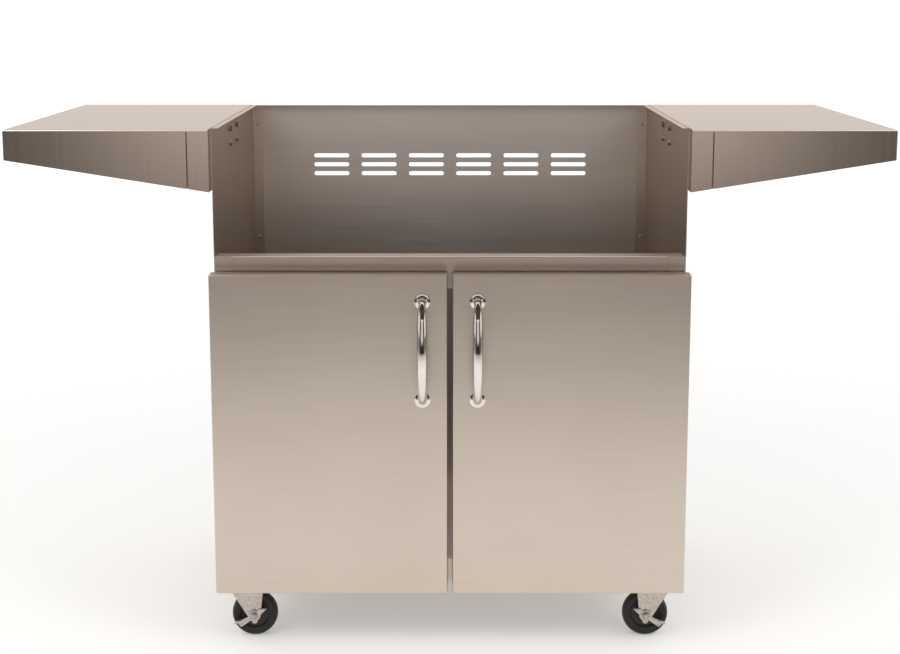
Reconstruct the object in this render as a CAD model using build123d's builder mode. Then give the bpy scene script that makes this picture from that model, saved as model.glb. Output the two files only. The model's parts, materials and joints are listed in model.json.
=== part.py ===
"""Grill cart: a two-door cabinet on swivel casters with a fixed work shelf on each side.

Millimetres, +Z up. The front faces -Y and the origin is on the floor, under the middle.
"""
import os
from math import cos, pi, radians, sin

from build123d import *

# Cabinet
overall_width = 1460.0
shelf_height = 900.0
cabinet_width = 790.0
cabinet_depth = 537.0
sheet = 1.2
bend = 2.5
back_recess = 2.5
front_return = 30.0
rear_return = 20.0
ledge = 12.0
back_flange = 25.0
screw_clearance = 0.3
seat_clearance = 0.2
run_clearance = 0.05

# Base and rails
base_height = 47.0
rail_sheet = 1.5
side_rail_width = 70.0
cross_rail_depth = 30.0
top_rail_height = 55.0
top_rail_rise = 25.0
rail_end_gap = 0.7

# Doors
door_thickness = 25.0
door_height = 555.0
door_drop = 5.0
door_overlap = 5.0
door_gap = 9.0
liner_sheet = 1.0

# Hinges and catches
hinge_gap = 8.0
barrel_radius = 3.7
hinge_pin_radius = 2.0
pin_head_radius = 3.2
pin_head_height = 1.2
leaf_thickness = 1.5
leaf_width = 27.0
leaf_height = 51.0
knuckle_gap = 0.4
hinge_inset = 85.0
catch_width = 40.0
catch_height = 12.0
catch_depth = 7.0
catch_offset = 55.0
catch_drop = 18.0
strike_width = 36.0
strike_height = 16.0
strike_thickness = 1.5

# Handles
handle_reach = 46.0
handle_centres = 168.0
handle_edge = 41.5
handle_top_drop = 45.0
handle_post = 10.0
neck_radius = 4.9
grip_radius = 9.0
rosette_radius = 13.5
rosette_height = 7.0
rosette_rim = 1.6
handle_screw_radius = 2.0
handle_screw_depth = 8.0
handle_screw_head = 4.2

# Shelves
skirt_outer = 50.0
skirt_inner = 103.0
bracket_width = 36.0
seam = 2.5
lap_width = 14.0
lap_depth = 6.0
stiffener_width = 120.0
stiffener_outer = 22.0
stiffener_inner = 60.0
shelf_bolt_radius = 3.0
shelf_bolt_head = 5.5
shelf_bolt_head_height = 4.0
shelf_bolt_drop = 16.0
shelf_bolt_rows = 26.0
shelf_bolt_span = 80.0

# Gas cylinder seat and gas line
tank_x = -175.0
tank_y = 40.0
tank_radius = 104.0
tank_wall = 3.0
tank_height = 26.0
tank_flange = 14.0
clamp_radius = 4.0
clamp_nut_radius = 8.0
clamp_nut_length = 12.0
clamp_travel = 12.0
clamp_knob_radius = 11.0
clamp_knob_length = 10.0
hose_inset = 125.0
hose_rise = 143.0
hose_radius = 14.0
grommet_neck = 18.0
grommet_radius = 23.0
grommet_lip = 2.2

# Vents and panel screws
vent_length = 70.0
vent_height = 8.0
vent_pitch = 95.0
vent_row_pitch = 18.0
vent_columns = 6
vent_low_rise = 68.0
vent_high_drop = 120.0
floor_vent_x = 180.0
floor_vent_rows = 5
floor_vent_pitch = 60.0
panel_screw_radius = 2.0
panel_screw_head = 4.0
panel_screw_head_height = 2.0
panel_screw_tail = 6.0
panel_screw_rise = 25.0
panel_screw_drop = 40.0
panel_screw_rows = 4

# Casters
caster_height = 110.0
caster_side_inset = 33.0
caster_inset = 45.0
caster_trail = 18.0
wheel_radius = 40.0
wheel_width = 24.0
rim_radius = 27.0
hub_width = 20.0
hub_boss = 10.0
plate_size = 60.0
plate_thickness = 3.0
plate_bolts = 44.0
caster_bolt_radius = 3.0
caster_bolt_head = 5.5
caster_bolt_height = 4.0
race_radius = 22.0
kingpin_radius = 6.0
kingpin_head = 10.0
kingpin_head_height = 3.5
fork_sheet = 2.5
fork_gap = 28.0
fork_back = 24.0
fork_front = 34.0
fork_boss = 11.0
crown_height = 88.0
axle_radius = 4.0
axle_head = 7.0
axle_head_height = 5.0
side_gap = 0.3

# Brake levers on the front casters
lever_sheet = 2.0
lever_boss = 9.0
pedal_length = 30.0
pedal_tip = 7.0
pedal_pad = 12.0
pedal_angle = 28.0
nose_length = 21.0
nose_tip = 4.5
lobe_length = 11.0
lobe_tip = 4.0

# Positions that follow from the sizes above
side_x = cabinet_width / 2
inner_x = side_x - sheet
total_depth = handle_reach + door_thickness + hinge_gap + cabinet_depth
door_front = handle_reach - total_depth / 2
door_back = door_front + door_thickness
cab_front = door_back + hinge_gap
cab_back = cab_front + cabinet_depth
panel_back = cab_back - back_recess
return_back = panel_back - sheet
return_front = cab_front + sheet
base_bottom = caster_height
base_top = base_bottom + base_height
floor_top = base_top + sheet
door_bottom = base_bottom - door_drop
door_top = door_bottom + door_height
door_outer = side_x + door_overlap
door_inner = door_gap / 2
door_width = door_outer - door_inner
door_mid_x = (door_outer + door_inner) / 2
top_rail_top = door_top + top_rail_rise
top_rail_bottom = top_rail_top - top_rail_height
rail_inner_x = inner_x - side_rail_width
corner_reach = bend - sheet
rail_end = corner_reach + rail_end_gap
side_rail_end = max(rail_sheet, corner_reach)
shelf_end = overall_width / 2
shelf_under = shelf_height - sheet
shelf_mid_y = (door_front + cab_back) / 2
seam_x = side_x + bracket_width
skirt_slope = (skirt_inner - skirt_outer) / (shelf_end - side_x)
bracket_top = shelf_under
bracket_under = bracket_top - rail_sheet
web_x = side_x + rail_sheet
bolt_top = bracket_under - shelf_bolt_drop
bolt_levels = (bolt_top, bolt_top - shelf_bolt_rows)
bolt_ys = (shelf_mid_y - shelf_bolt_span / 2, shelf_mid_y + shelf_bolt_span / 2)
screw_x = side_x - rear_return / 2
screw_low = base_top + panel_screw_rise
screw_pitch = (shelf_height - panel_screw_drop - screw_low) / (panel_screw_rows - 1)
panel_screw_levels = [screw_low + row * screw_pitch for row in range(panel_screw_rows)]
vent_levels = (base_top + vent_low_rise, shelf_height - vent_high_drop)
hose_x = side_x - hose_inset
hose_z = base_top + hose_rise
hinge_y = door_back + hinge_gap / 2
hinge_levels = (door_bottom + hinge_inset, door_top - hinge_inset)
handle_x = door_inner + handle_edge
rosette_high = door_top - handle_top_drop
rosette_low = rosette_high - handle_centres
catch_z = door_top - catch_drop
caster_x = side_x - caster_side_inset
front_caster_y = cab_front + caster_inset
rear_caster_y = cab_back - caster_inset
casters = {
    "front_left": (-caster_x, front_caster_y, 1),
    "front_right": (caster_x, front_caster_y, -1),
    "rear_left": (-caster_x, rear_caster_y, 1),
    "rear_right": (caster_x, rear_caster_y, -1),
}

pieces = {}


def keep(name, builder):
    """Note one finished piece under its own name."""
    pieces[name] = builder.part


def keep_pair(name, builder):
    """Note a left-hand piece and its mirror image on the right."""
    keep("left_" + name, builder)
    with BuildPart() as right:
        mirror(builder.part, about=Plane.YZ)
    keep("right_" + name, right)


def folded(points, thickness, side):
    """Section of a sheet folded along corner points, thickened to one side."""
    with BuildSketch() as section:
        with BuildLine():
            FilletPolyline(*points, radius=bend)
            offset(amount=thickness, side=side)
        make_face()
    return section.sketch


def arm_outline(tip, tip_radius):
    """Outline of a lever arm from the pivot boss to its rounded tip."""
    with BuildSketch() as outline:
        with BuildLine():
            CenterArc((0, 0), lever_boss, 0, 360)
            CenterArc(tip, tip_radius, 0, 360)
        make_hull()
    return outline.sketch


def at_y(y):
    """Upright plane facing the front at one depth."""
    return Plane.XZ.offset(-y)


def skirt_bottom(x):
    """Height of the sloping lower edge of a shelf at a distance from the middle."""
    return shelf_height - skirt_inner + (x - side_x) * skirt_slope


# Side panels: web with front and rear returns, and a ledge turned in along the top
with BuildPart() as side_panel:
    with BuildSketch(Plane.XY.offset(base_bottom)):
        add(folded([(-side_x + front_return, cab_front), (-side_x, cab_front),
                    (-side_x, return_back), (-side_x + rear_return, return_back)], sheet, Side.RIGHT))
    extrude(amount=top_rail_top - base_bottom)
    with BuildSketch(Plane.XY.offset(top_rail_top)):
        add(folded([(-side_x, cab_front), (-side_x, return_back),
                    (-side_x + rear_return, return_back)], sheet, Side.RIGHT))
    extrude(amount=shelf_height - bend - top_rail_top)
    with BuildSketch(at_y(return_back - bend)):
        add(folded([(-side_x, shelf_height - 3 * bend), (-side_x, shelf_height),
                    (-side_x + ledge, shelf_height)], sheet, Side.RIGHT))
    extrude(amount=return_back - bend - cab_front)
    with Locations([(-side_x, y, z) for y in bolt_ys for z in bolt_levels]):
        Cylinder(shelf_bolt_radius + screw_clearance, 4 * sheet, rotation=(0, 90, 0), mode=Mode.SUBTRACT)
    with Locations([(-screw_x, return_back, z) for z in panel_screw_levels]):
        Cylinder(panel_screw_radius + screw_clearance, 4 * sheet, rotation=(90, 0, 0), mode=Mode.SUBTRACT)
keep_pair("side_panel", side_panel)

# Base: a wide channel along each side, which carries the casters, and two cross rails
with BuildPart() as side_base_rail:
    with BuildSketch(at_y(return_back - sheet - side_rail_end)):
        add(folded([(-rail_inner_x, base_bottom), (-inner_x, base_bottom),
                    (-inner_x, base_top), (-rail_inner_x, base_top)], rail_sheet, Side.RIGHT))
    extrude(amount=return_back - return_front - sheet - 2 * side_rail_end)
    with Locations([(-caster_x, y, base_bottom) for y in (front_caster_y, rear_caster_y)]):
        with GridLocations(plate_bolts, plate_bolts, 2, 2):
            Cylinder(caster_bolt_radius + screw_clearance, 4 * rail_sheet, mode=Mode.SUBTRACT)
keep_pair("base_rail", side_base_rail)

cross_web = 2 * (inner_x - rail_end)
with BuildPart() as front_base_rail:
    with BuildSketch(Plane.YZ.offset(-rail_inner_x)):
        add(folded([(return_front + cross_rail_depth, base_bottom), (return_front, base_bottom),
                    (return_front, base_top), (return_front + cross_rail_depth, base_top)],
                   rail_sheet, Side.RIGHT))
    extrude(amount=2 * rail_inner_x)
    with Locations((0, return_front + rail_sheet / 2, (base_bottom + base_top) / 2)):
        Box(cross_web, rail_sheet, base_height - 2 * bend)
keep("front_base_rail", front_base_rail)

rear_rail_y = return_back - sheet
with BuildPart() as rear_base_rail:
    with BuildSketch(Plane.YZ.offset(-rail_inner_x)):
        add(folded([(rear_rail_y - cross_rail_depth, base_bottom), (rear_rail_y, base_bottom),
                    (rear_rail_y, base_top), (rear_rail_y - cross_rail_depth, base_top)],
                   rail_sheet, Side.LEFT))
    extrude(amount=2 * rail_inner_x)
    with Locations((0, rear_rail_y - rail_sheet / 2, (base_bottom + base_top) / 2)):
        Box(cross_web, rail_sheet, base_height - 2 * bend)
keep("rear_base_rail", rear_base_rail)

# Floor panel on the base, with ventilation slots beside the cylinder seat
floor_front = return_front + seat_clearance
floor_back = rear_rail_y - seat_clearance
with BuildPart() as floor_panel:
    with BuildSketch(Plane.XY.offset(base_top)):
        with Locations((0, (floor_front + floor_back) / 2)):
            RectangleRounded(2 * (inner_x - seat_clearance), floor_back - floor_front, 2 * bend)
        with Locations((floor_vent_x, tank_y)):
            with GridLocations(vent_pitch, floor_vent_pitch, 2, floor_vent_rows):
                SlotOverall(vent_length, vent_height, mode=Mode.SUBTRACT)
    extrude(amount=sheet)
keep("floor_panel", floor_panel)

# Rail across the front above the doors' top edge
with BuildPart() as front_top_rail:
    with BuildSketch(Plane.YZ.offset(-inner_x + rail_end)):
        add(folded([(return_front + cross_rail_depth, top_rail_bottom), (return_front, top_rail_bottom),
                    (return_front, top_rail_top), (return_front + cross_rail_depth, top_rail_top)],
                   rail_sheet, Side.RIGHT))
    extrude(amount=cross_web)
keep("front_top_rail", front_top_rail)

# Back panel: turned forward along the top, with vents and a hole for the gas line
with BuildPart() as back_panel:
    with Locations((0, panel_back - sheet / 2, (base_bottom + shelf_height - 2 * bend) / 2)):
        Box(2 * (side_x - bend), sheet, shelf_height - 2 * bend - base_bottom)
    with BuildSketch(Plane.YZ.offset(-side_x + ledge + rail_end)):
        add(folded([(panel_back, shelf_height - 4 * bend), (panel_back, shelf_height),
                    (panel_back - back_flange, shelf_height)], sheet, Side.LEFT))
    extrude(amount=2 * (side_x - ledge - rail_end))
    with BuildSketch(at_y(panel_back + sheet)):
        for level in vent_levels:
            with Locations((0, level)):
                with GridLocations(vent_pitch, vent_row_pitch, vent_columns, 3):
                    SlotOverall(vent_length, vent_height)
        with Locations((hose_x, hose_z)):
            Circle(grommet_neck + seat_clearance)
        with Locations([(s * screw_x, z) for s in (-1, 1) for z in panel_screw_levels]):
            Circle(panel_screw_radius + screw_clearance)
    extrude(amount=3 * sheet, mode=Mode.SUBTRACT)
keep("back_panel", back_panel)

with BuildPart() as panel_screws:
    for s in (-1, 1):
        for level in panel_screw_levels:
            with BuildSketch(Plane((s * screw_x, panel_back, level), x_dir=(1, 0, 0), z_dir=(0, 1, 0))):
                Circle(panel_screw_head)
            extrude(amount=panel_screw_head_height)
            with BuildSketch(Plane((s * screw_x, panel_back, level), x_dir=(1, 0, 0), z_dir=(0, -1, 0))):
                Circle(panel_screw_radius)
            extrude(amount=panel_screw_tail)
keep("panel_screws", panel_screws)

hose_axis = Axis((hose_x, panel_back, hose_z), (0, 1, 0))
with BuildPart() as gas_line_grommet:
    with BuildSketch(Plane((hose_x, panel_back, hose_z), x_dir=(1, 0, 0), z_dir=(0, 0, 1))):
        with BuildLine():
            Polyline((hose_radius, -sheet - grommet_lip), (grommet_radius, -sheet - grommet_lip),
                     (grommet_radius, -sheet), (grommet_neck, -sheet), (grommet_neck, 0),
                     (grommet_radius, 0), (grommet_radius, grommet_lip), (hose_radius, grommet_lip),
                     close=True)
        make_face()
    revolve(axis=hose_axis)
keep("gas_line_grommet", gas_line_grommet)

# Seat ring for the gas cylinder's foot, with the nut of its clamp screw
clamp_z = floor_top + tank_height / 2
tank_outer = tank_radius + tank_wall
nut_end = tank_y - tank_outer - clamp_nut_length
with BuildPart() as tank_ring:
    with BuildSketch(Plane((tank_x, tank_y, floor_top), x_dir=(1, 0, 0), z_dir=(0, -1, 0))):
        with BuildLine():
            Polyline((tank_radius, 0), (tank_outer + tank_flange, 0), (tank_outer + tank_flange, sheet),
                     (tank_outer, sheet), (tank_outer, tank_height), (tank_radius, tank_height), close=True)
        make_face()
    revolve(axis=Axis((tank_x, tank_y, 0), (0, 0, 1)))
    with BuildSketch(at_y(nut_end + clamp_nut_length + tank_wall / 2)):
        with Locations((tank_x, clamp_z)):
            Circle(clamp_nut_radius)
    extrude(amount=clamp_nut_length + tank_wall / 2)
    with BuildSketch(at_y(tank_y - tank_radius + tank_wall)):
        with Locations((tank_x, clamp_z)):
            Circle(clamp_radius + run_clearance)
    extrude(amount=clamp_nut_length + 3 * tank_wall, mode=Mode.SUBTRACT)
keep("tank_ring", tank_ring)

knob_face = nut_end - clamp_travel - side_gap
with BuildPart() as tank_clamp_screw:
    with BuildSketch(at_y(tank_y - tank_outer)):
        with Locations((tank_x, clamp_z)):
            Circle(clamp_radius)
    extrude(amount=tank_y - tank_outer - knob_face)
    with BuildSketch(at_y(knob_face)):
        with Locations((tank_x, clamp_z)):
            Circle(0.8 * clamp_knob_radius)
            with PolarLocations(0.7 * clamp_knob_radius, 5):
                Circle(0.3 * clamp_knob_radius)
    extrude(amount=clamp_knob_length)
keep("tank_clamp_screw", tank_clamp_screw)

# Shelves: folded trays open underneath, their top and its edge lips reaching in over the brackets
lip_depth = 1.5 * bend
with BuildPart() as shelf:
    with BuildSketch(at_y(cab_back)):
        with BuildLine():
            Polyline((-shelf_end, shelf_height), (-seam_x, shelf_height), (-seam_x, skirt_bottom(seam_x)),
                     (-shelf_end, skirt_bottom(shelf_end)), close=True)
        make_face()
    extrude(amount=cab_back - door_front)
    top = shelf.faces().sort_by(Axis.Z)[-1]
    end = shelf.faces().sort_by(Axis.X)[0]
    fillet(top.edges().filter_by(Axis.X) + top.edges().filter_by(Axis.Y).sort_by(Axis.X)[:1]
           + end.edges().filter_by(Axis.Z), radius=bend)
    offset(amount=-sheet, openings=[shelf.faces().sort_by(Axis.Z)[0], shelf.faces().sort_by(Axis.X)[-1]])
    with BuildSketch(Plane.YZ.offset(-seam_x)):
        add(folded([(door_front, shelf_height - lip_depth), (door_front, shelf_height),
                    (cab_back, shelf_height), (cab_back, shelf_height - lip_depth)], sheet, Side.RIGHT))
    extrude(amount=bracket_width)
keep_pair("shelf", shelf)

# Brackets: tapered channels that hang the shelves on the side panels, their flanges joggled behind the skirts
bracket_recess = sheet + seat_clearance
bracket_front = door_front + bracket_recess
bracket_rear = cab_back - bracket_recess
lap_outer = seam_x + lap_width
lap_edge = seam_x - seam
lap_inner = lap_edge - rail_sheet
lap_turn = lap_depth - rail_sheet
lap_front = bracket_front + lap_depth
lap_rear = bracket_rear - lap_turn
with BuildPart() as shelf_bracket:
    with BuildSketch(at_y(bracket_rear)):
        with BuildLine():
            Polyline((-lap_edge, bracket_top), (-side_x, bracket_top), (-side_x, skirt_bottom(side_x)),
                     (-lap_edge, skirt_bottom(lap_edge)), close=True)
        make_face()
    extrude(amount=bracket_rear - bracket_front)
    fillet(shelf_bracket.faces().sort_by(Axis.Z)[-1].edges().filter_by(Axis.X), radius=bend)
    offset(amount=-rail_sheet, openings=[shelf_bracket.faces().sort_by(Axis.Z)[0],
                                         shelf_bracket.faces().sort_by(Axis.X)[0]])
    with Locations([(-side_x, y, z) for y in bolt_ys for z in bolt_levels]):
        Cylinder(shelf_bolt_radius + screw_clearance, 4 * rail_sheet, rotation=(0, 90, 0), mode=Mode.SUBTRACT)
    for lap_face, reach, depth in ((lap_front, lap_edge, lap_turn), (lap_front, lap_outer, rail_sheet),
                                   (bracket_rear - rail_sheet, lap_edge, lap_turn), (lap_rear, lap_outer, rail_sheet)):
        with BuildSketch(at_y(lap_face)):
            with BuildLine():
                Polyline((-reach, bracket_under), (-lap_inner, bracket_under),
                         (-lap_inner, skirt_bottom(lap_inner) + seat_clearance),
                         (-reach, skirt_bottom(reach) + seat_clearance), close=True)
            make_face()
        extrude(amount=depth)
keep_pair("shelf_bracket", shelf_bracket)

# Stiffeners: cantilever channels bolted through the brackets, under the shelf tops
stiffener_end = shelf_end - sheet - bend
with BuildPart() as shelf_stiffener:
    with BuildSketch(at_y(shelf_mid_y + stiffener_width / 2)):
        with BuildLine():
            Polyline((-web_x, bracket_under), (-seam_x, bracket_under), (-seam_x, shelf_under),
                     (-stiffener_end, shelf_under), (-stiffener_end, shelf_under - stiffener_outer),
                     (-web_x, shelf_under - stiffener_inner), close=True)
        make_face()
    extrude(amount=stiffener_width)
    with BuildSketch(at_y(shelf_mid_y + stiffener_width / 2 - rail_sheet)):
        with BuildLine():
            Polyline((-web_x - rail_sheet, bracket_under - rail_sheet),
                     (-stiffener_end + rail_sheet, bracket_under - rail_sheet),
                     (-stiffener_end + rail_sheet, shelf_under - stiffener_inner - rail_sheet),
                     (-web_x - rail_sheet, shelf_under - stiffener_inner - rail_sheet), close=True)
        make_face()
    extrude(amount=stiffener_width - 2 * rail_sheet, mode=Mode.SUBTRACT)
    with Locations([(-web_x, y, z) for y in bolt_ys for z in bolt_levels]):
        Cylinder(shelf_bolt_radius + screw_clearance, 4 * rail_sheet, rotation=(0, 90, 0), mode=Mode.SUBTRACT)
keep_pair("shelf_stiffener", shelf_stiffener)

nut_face = web_x + rail_sheet
with BuildPart() as shelf_bolts:
    for s in (-1, 1):
        for y in bolt_ys:
            for z in bolt_levels:
                outward = Plane((s * inner_x, y, z), x_dir=(0, 1, 0), z_dir=(s, 0, 0))
                with BuildSketch(outward):
                    Circle(shelf_bolt_radius)
                extrude(amount=nut_face + shelf_bolt_head_height - inner_x)
                with BuildSketch(outward):
                    RegularPolygon(shelf_bolt_head, 6)
                extrude(amount=-shelf_bolt_head_height)
                with BuildSketch(outward.offset(nut_face - inner_x)):
                    RegularPolygon(shelf_bolt_head, 6)
                extrude(amount=shelf_bolt_head_height)
keep("shelf_bolts", shelf_bolts)

# Doors: an outer pan closed by a flat liner
with BuildPart() as door_skin:
    with Locations((-door_mid_x, (door_front + door_back) / 2, (door_bottom + door_top) / 2)):
        Box(door_width, door_thickness, door_height)
    face = door_skin.faces().sort_by(Axis.Y)[0]
    fillet(face.edges() + door_skin.edges().filter_by(Axis.Y), radius=bend)
    offset(amount=-sheet, openings=door_skin.faces().sort_by(Axis.Y)[-1])
    with Locations([(-handle_x, door_front, z) for z in (rosette_low, rosette_high)]):
        Cylinder(handle_screw_radius + screw_clearance, 4 * sheet, rotation=(90, 0, 0), mode=Mode.SUBTRACT)
keep_pair("door_skin", door_skin)

liner_inset = 2 * (sheet + seat_clearance)
with BuildPart() as door_liner:
    with BuildSketch(at_y(door_back)):
        with Locations((-door_mid_x, (door_bottom + door_top) / 2)):
            RectangleRounded(door_width - liner_inset, door_height - liner_inset, bend)
    extrude(amount=liner_sheet)
keep_pair("door_liner", door_liner)

with BuildPart() as strike_plate:
    with BuildSketch(at_y(door_back + strike_thickness)):
        with Locations((-catch_offset, catch_z)):
            RectangleRounded(strike_width, strike_height, bend)
    extrude(amount=strike_thickness)
keep_pair("strike_plate", strike_plate)

with BuildPart() as door_catches:
    with Locations([(s * catch_offset, return_front - catch_depth / 2, catch_z) for s in (-1, 1)]):
        Box(catch_width, catch_depth, catch_height)
keep("door_catches", door_catches)

# Hinges: each barrel stands in the gap behind the door's outer edge
knuckle = (leaf_height - 2 * knuckle_gap) / 3
leaf_start = barrel_radius + knuckle_gap


def hinge_leaf(level, y_low, offsets):
    """One leaf with its knuckles, for the hinge at a level on the left side."""
    with BuildPart() as leaf:
        with Locations((-side_x + (leaf_start + leaf_width) / 2, y_low + leaf_thickness / 2, level)):
            Box(leaf_width - leaf_start, leaf_thickness, leaf_height)
        for shift in offsets:
            with Locations((-side_x, hinge_y, level + shift)):
                Cylinder(barrel_radius, knuckle)
            with Locations((-side_x + leaf_start / 2, y_low + leaf_thickness / 2, level + shift)):
                Box(leaf_start, leaf_thickness, knuckle)
        with Locations((-side_x, hinge_y, level)):
            Cylinder(hinge_pin_radius + run_clearance, 2 * leaf_height, mode=Mode.SUBTRACT)
    return leaf.part


with BuildPart() as hinge_door_leaves:
    for level in hinge_levels:
        add(hinge_leaf(level, door_back, (0,)))
keep_pair("hinge_door_leaves", hinge_door_leaves)

with BuildPart() as hinge_frame_leaves:
    for level in hinge_levels:
        outer_knuckles = (-knuckle - knuckle_gap, knuckle + knuckle_gap)
        leaf = hinge_leaf(level, cab_front - leaf_thickness, outer_knuckles)
        add(leaf)
        mirror(leaf, about=Plane.YZ)
keep("hinge_frame_leaves", hinge_frame_leaves)

with BuildPart() as hinge_pins:
    for s in (-1, 1):
        for level in hinge_levels:
            with Locations((s * side_x, hinge_y, level)):
                Cylinder(hinge_pin_radius, leaf_height)
            for end in (-1, 1):
                with Locations((s * side_x, hinge_y, level + end * (leaf_height + pin_head_height) / 2)):
                    Cylinder(pin_head_radius, pin_head_height)
keep("hinge_pins", hinge_pins)

# Handles: a bow that swells to its middle, with a flared rosette at each foot
bow_depth = handle_reach - grip_radius - handle_post
bow_middle = (rosette_high + rosette_low) / 2
bow_half = handle_centres / 2
bow_steps = 12
with BuildPart() as handle:
    for step in range(bow_steps + 1):
        angle = pi * (step / bow_steps - 0.5)
        centre = (-handle_x, door_front - handle_post - bow_depth * cos(angle), bow_middle + bow_half * sin(angle))
        along = (0, bow_depth * sin(angle), bow_half * cos(angle))
        with BuildSketch(Plane(centre, x_dir=(1, 0, 0), z_dir=along)):
            Circle(neck_radius + (grip_radius - neck_radius) * cos(angle))
    loft()
    for level in (rosette_low, rosette_high):
        with BuildSketch(at_y(door_front)):
            with Locations((-handle_x, level)):
                Circle(neck_radius)
        extrude(amount=handle_post)
        with BuildSketch(at_y(door_front)):
            with Locations((-handle_x, level)):
                Circle(handle_screw_radius + run_clearance)
        extrude(amount=handle_screw_depth + run_clearance, mode=Mode.SUBTRACT)
keep_pair("handle", handle)

rosette_bore = neck_radius + run_clearance
with BuildPart() as handle_rosettes:
    for level in (rosette_low, rosette_high):
        with BuildSketch(Plane((-handle_x, door_front, level), x_dir=(1, 0, 0), z_dir=(0, 0, -1))):
            with BuildLine():
                outline = Polyline((rosette_bore + 1, rosette_height), (rosette_bore, rosette_height),
                                   (rosette_bore, 0), (rosette_radius, 0), (rosette_radius, rosette_rim))
                RadiusArc(outline @ 1, outline @ 0, 1.4 * rosette_height)
            make_face()
        revolve(axis=Axis((-handle_x, door_front, level), (0, 1, 0)))
keep_pair("handle_rosettes", handle_rosettes)

with BuildPart() as handle_screws:
    for level in (rosette_low, rosette_high):
        with BuildSketch(at_y(door_front + sheet)):
            with Locations((-handle_x, level)):
                Circle(handle_screw_radius)
        extrude(amount=sheet + handle_screw_depth)
        with BuildSketch(at_y(door_front + sheet + handle_screw_radius)):
            with Locations((-handle_x, level)):
                Circle(handle_screw_head)
        extrude(amount=handle_screw_radius)
keep_pair("handle_screws", handle_screws)

# Casters: the parts fixed under the base
plate_under = caster_height - plate_thickness
race_split = (plate_under + crown_height) / 2
with BuildPart() as caster_top_plates:
    for x, y, inward in casters.values():
        with BuildSketch(Plane.XY.offset(plate_under)):
            with Locations((x, y)):
                RectangleRounded(plate_size, plate_size, 2 * bend)
                with GridLocations(plate_bolts, plate_bolts, 2, 2):
                    Circle(caster_bolt_radius + screw_clearance, mode=Mode.SUBTRACT)
        extrude(amount=plate_thickness)
        with BuildSketch(Plane.XY.offset(plate_under)):
            with Locations((x, y)):
                Circle(race_radius)
        extrude(amount=race_split + side_gap / 2 - plate_under)
        with Locations((x, y, caster_height)):
            Cylinder(kingpin_radius + run_clearance, caster_height, mode=Mode.SUBTRACT)
keep("caster_top_plates", caster_top_plates)

crown_under = crown_height - fork_sheet
with BuildPart() as caster_kingpins:
    for x, y, inward in casters.values():
        with BuildSketch(Plane.XY.offset(crown_under - side_gap)):
            with Locations((x, y)):
                Circle(kingpin_radius)
        extrude(amount=caster_height - crown_under + side_gap)
        with BuildSketch(Plane.XY.offset(crown_under - side_gap)):
            with Locations((x, y)):
                Circle(kingpin_head)
        extrude(amount=-kingpin_head_height)
keep("caster_kingpins", caster_kingpins)

with BuildPart() as caster_bolts:
    for x, y, inward in casters.values():
        for dx in (-plate_bolts / 2, plate_bolts / 2):
            for dy in (-plate_bolts / 2, plate_bolts / 2):
                upward = Plane.XY.offset(plate_under)
                with BuildSketch(upward):
                    with Locations((x + dx, y + dy)):
                        Circle(caster_bolt_radius)
                extrude(amount=plate_thickness + rail_sheet + caster_bolt_height)
                with BuildSketch(upward):
                    with Locations((x + dx, y + dy)):
                        RegularPolygon(caster_bolt_head, 6)
                extrude(amount=-caster_bolt_height)
                with BuildSketch(Plane.XY.offset(base_bottom + rail_sheet)):
                    with Locations((x + dx, y + dy)):
                        RegularPolygon(caster_bolt_head, 6)
                extrude(amount=caster_bolt_height)
keep("caster_bolts", caster_bolts)

# Casters: fork, axle and wheel of each one
fork_half = fork_gap / 2 + fork_sheet
lever_front = fork_half + side_gap + lever_sheet


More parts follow.
